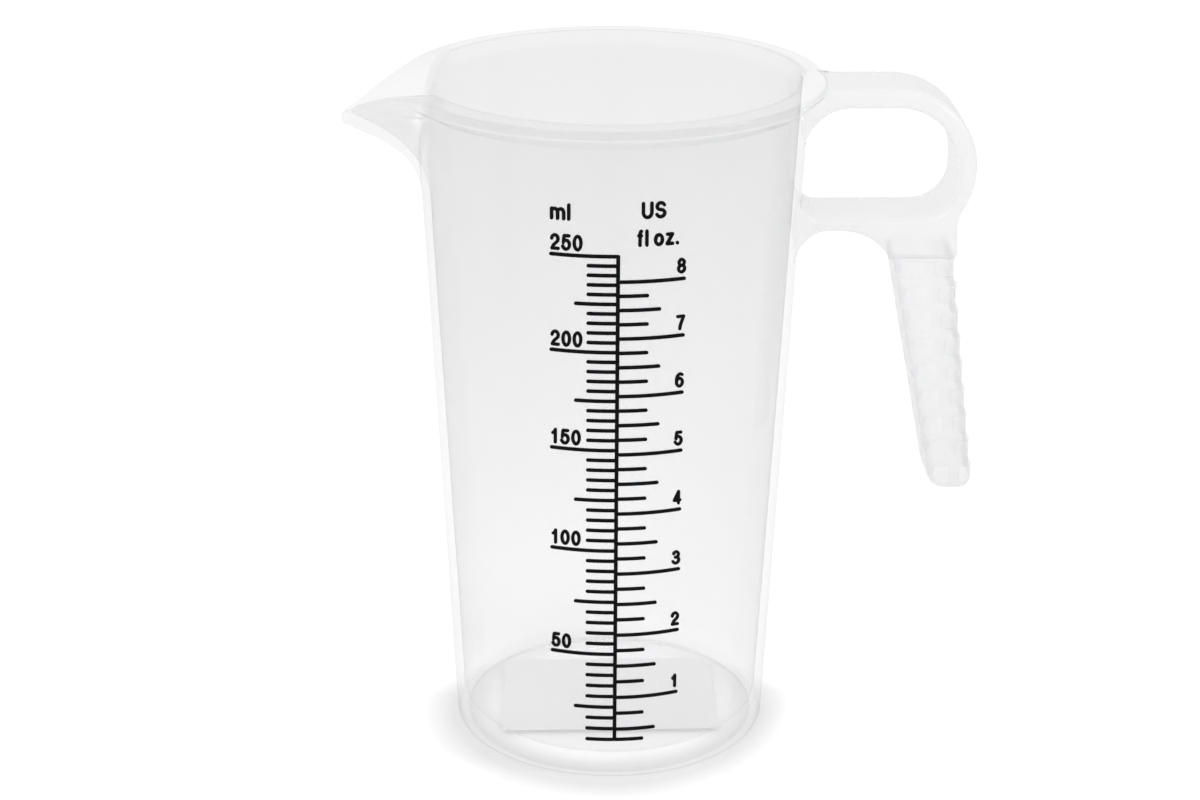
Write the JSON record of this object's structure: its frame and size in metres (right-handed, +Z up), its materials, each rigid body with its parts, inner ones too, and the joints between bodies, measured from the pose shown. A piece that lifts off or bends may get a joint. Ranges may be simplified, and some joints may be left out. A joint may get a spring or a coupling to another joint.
{
  "type": "mixing cup",
  "caption": "Tall translucent mixing cup with a drawn pouring lip, an open loop handle above a hanging ribbed grip, and a double volume scale on its side.",
  "frame": {"origin": "centre of the foot ring, on the surface that the cup stands on", "axes": "+Z up along the cup's axis, +X towards the handle, -X towards the pouring lip, -Y towards the scale"},
  "size_m": [0.1104, 0.0726, 0.1197],
  "materials": {
    "plastic": "translucent polypropylene, satin outside and smooth inside",
    "ink": "black hot-stamped foil on raised lines",
    "label": "plain white sticker"
  },
  "bodies": {
    "root": {"cup_wall": "plastic", "cup_floor": "plastic", "rim_flange": "plastic", "pour_spout": "plastic", "handle_strap": "plastic", "handle_bow": "plastic", "handle_crossbar": "plastic", "grip_block": "plastic", "grip_leg": "plastic", "outer_grip_ribs": "plastic", "inner_grip_pads": "plastic", "scale_spine": "ink", "ml_marks": "ink", "fl_oz_marks": "ink", "ml_numerals": "ink", "fl_oz_numerals": "ink", "ml_unit": "ink", "fl_oz_unit": "ink", "base_label": "label"}
  },
  "joints": []
}
